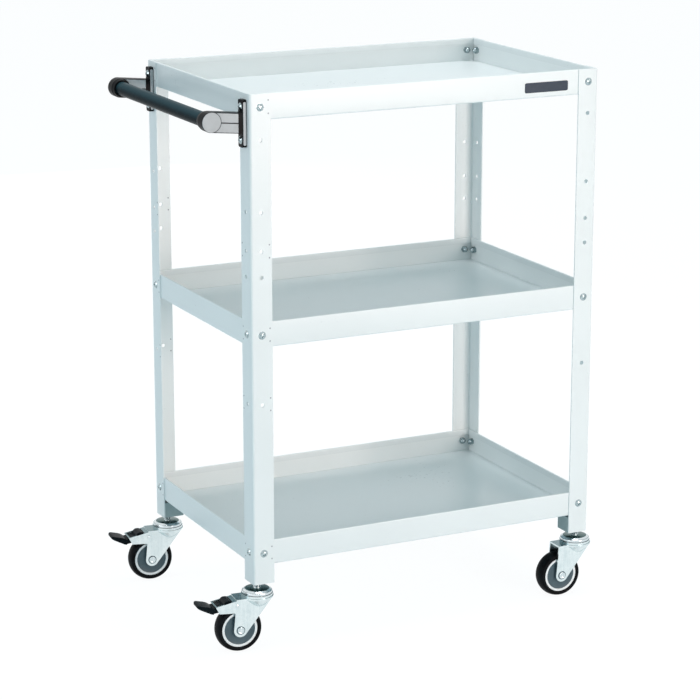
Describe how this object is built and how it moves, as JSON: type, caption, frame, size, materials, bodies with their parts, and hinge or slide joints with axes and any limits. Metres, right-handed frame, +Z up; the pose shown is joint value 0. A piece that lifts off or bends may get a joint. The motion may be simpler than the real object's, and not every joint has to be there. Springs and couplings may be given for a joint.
{
  "type": "tool cart",
  "caption": "Steel service cart with tiers of open pan trays bolted in angle posts, a tubular push handle, and swivel casters with brakes at the handle end.",
  "frame": {"origin": "on the floor, below the middle of the cart's overall length and width, brake pedals and handle included", "axes": "+X runs along the cart away from the handle, +Y from the front side to the back side, +Z up"},
  "size_m": [0.7066, 0.421, 0.88],
  "materials": {
    "post_paint": "white powder coat, fine satin texture",
    "tray_paint": "white powder coat, fine satin texture",
    "bright_fasteners": "bright plated, polished",
    "bracket_black": "black moulded plastic, satin",
    "trim_grey": "light grey moulded plastic, satin",
    "handle_steel": "plain steel tube",
    "grip_slate": "dark slate, soft satin",
    "zinc_plate": "zinc plated pressed steel, slightly blue",
    "zinc_hardware": "zinc plated, bright",
    "ball_steel": "polished steel balls",
    "wheel_white": "white moulded wheel centre",
    "cover_grey": "blue-grey moulded disc",
    "tyre_black": "solid black rubber",
    "pedal_black": "black moulded plastic",
    "shoe_steel": "plain steel"
  },
  "bodies": {
    "cart": {"post_front_left": "post_paint", "post_front_right": "post_paint", "post_back_left": "post_paint", "post_back_right": "post_paint", "tray_top": "tray_paint", "tray_middle": "tray_paint", "tray_bottom": "tray_paint", "tray_screws": "bright_fasteners", "cap_nuts": "bright_fasteners", "handle_bracket_front": "bracket_black", "handle_bracket_back": "bracket_black", "handle_trim_front": "trim_grey", "handle_trim_back": "trim_grey", "handle_tube": "handle_steel", "handle_grip": "grip_slate", "handle_bolts": "bright_fasteners", "caster_seat_front_left": "zinc_plate", "caster_seat_front_right": "zinc_plate", "caster_seat_back_left": "zinc_plate", "caster_seat_back_right": "zinc_plate", "caster_nuts": "zinc_hardware", "caster_stem_front_left": "zinc_hardware", "caster_stem_front_right": "zinc_hardware", "caster_stem_back_left": "zinc_hardware", "caster_stem_back_right": "zinc_hardware", "caster_head_front_left": "zinc_plate", "caster_head_front_right": "zinc_plate", "caster_head_back_left": "zinc_plate", "caster_head_back_right": "zinc_plate"},
    "swivel_front_left": {"bearing_balls_front_left": "ball_steel", "fork_front_left": "zinc_plate", "axle_front_left": "zinc_hardware", "brake_pin_front_left": "zinc_hardware"},
    "wheel_front_left": {"wheel_core_front_left": "wheel_white", "wheel_covers_front_left": "cover_grey", "tyre_front_left": "tyre_black"},
    "swivel_back_left": {"bearing_balls_back_left": "ball_steel", "fork_back_left": "zinc_plate", "axle_back_left": "zinc_hardware", "brake_pin_back_left": "zinc_hardware"},
    "wheel_back_left": {"wheel_core_back_left": "wheel_white", "wheel_covers_back_left": "cover_grey", "tyre_back_left": "tyre_black"},
    "swivel_front_right": {"bearing_balls_front_right": "ball_steel", "fork_front_right": "zinc_plate", "axle_front_right": "zinc_hardware"},
    "wheel_front_right": {"wheel_core_front_right": "wheel_white", "wheel_covers_front_right": "cover_grey", "tyre_front_right": "tyre_black"},
    "swivel_back_right": {"bearing_balls_back_right": "ball_steel", "fork_back_right": "zinc_plate", "axle_back_right": "zinc_hardware"},
    "wheel_back_right": {"wheel_core_back_right": "wheel_white", "wheel_covers_back_right": "cover_grey", "tyre_back_right": "tyre_black"},
    "pedal_front_left": {"brake_pedal_front_left": "pedal_black", "brake_shoe_front_left": "shoe_steel"},
    "pedal_back_left": {"brake_pedal_back_left": "pedal_black", "brake_shoe_back_left": "shoe_steel"}
  },
  "joints": [
    {"name": "swivel_front_left", "type": "hinge", "parent": "cart", "child": "swivel_front_left", "pos_m": [-0.25185, -0.1845, 0.095], "axis": [0, 0, 1], "continuous": true},
    {"name": "spin_front_left", "type": "hinge", "parent": "swivel_front_left", "child": "wheel_front_left", "pos_m": [-0.28368, -0.18116, 0.0375], "axis": [-0.1045, -0.9945, 0], "continuous": true},
    {"name": "pedal_front_left", "type": "hinge", "parent": "swivel_front_left", "child": "pedal_front_left", "pos_m": [-0.28914, -0.18058, 0.0787], "axis": [-0.1045, -0.9945, 0], "range_deg": [0, 12]},
    {"name": "swivel_back_left", "type": "hinge", "parent": "cart", "child": "swivel_back_left", "pos_m": [-0.25185, 0.1845, 0.095], "axis": [0, 0, 1], "continuous": true},
    {"name": "spin_back_left", "type": "hinge", "parent": "swivel_back_left", "child": "wheel_back_left", "pos_m": [-0.28368, 0.18785, 0.0375], "axis": [-0.1045, -0.9945, 0], "continuous": true},
    {"name": "pedal_back_left", "type": "hinge", "parent": "swivel_back_left", "child": "pedal_back_left", "pos_m": [-0.28914, 0.18842, 0.0787], "axis": [-0.1045, -0.9945, 0], "range_deg": [0, 12]},
    {"name": "swivel_front_right", "type": "hinge", "parent": "cart", "child": "swivel_front_right", "pos_m": [0.32715, -0.1845, 0.095], "axis": [0, 0, 1], "continuous": true},
    {"name": "spin_front_right", "type": "hinge", "parent": "swivel_front_right", "child": "wheel_front_right", "pos_m": [0.29515, -0.1845, 0.0375], "axis": [0, -1, 0], "continuous": true},
    {"name": "swivel_back_right", "type": "hinge", "parent": "cart", "child": "swivel_back_right", "pos_m": [0.32715, 0.1845, 0.095], "axis": [0, 0, 1], "continuous": true},
    {"name": "spin_back_right", "type": "hinge", "parent": "swivel_back_right", "child": "wheel_back_right", "pos_m": [0.29515, 0.1845, 0.0375], "axis": [0, -1, 0], "continuous": true}
  ]
}
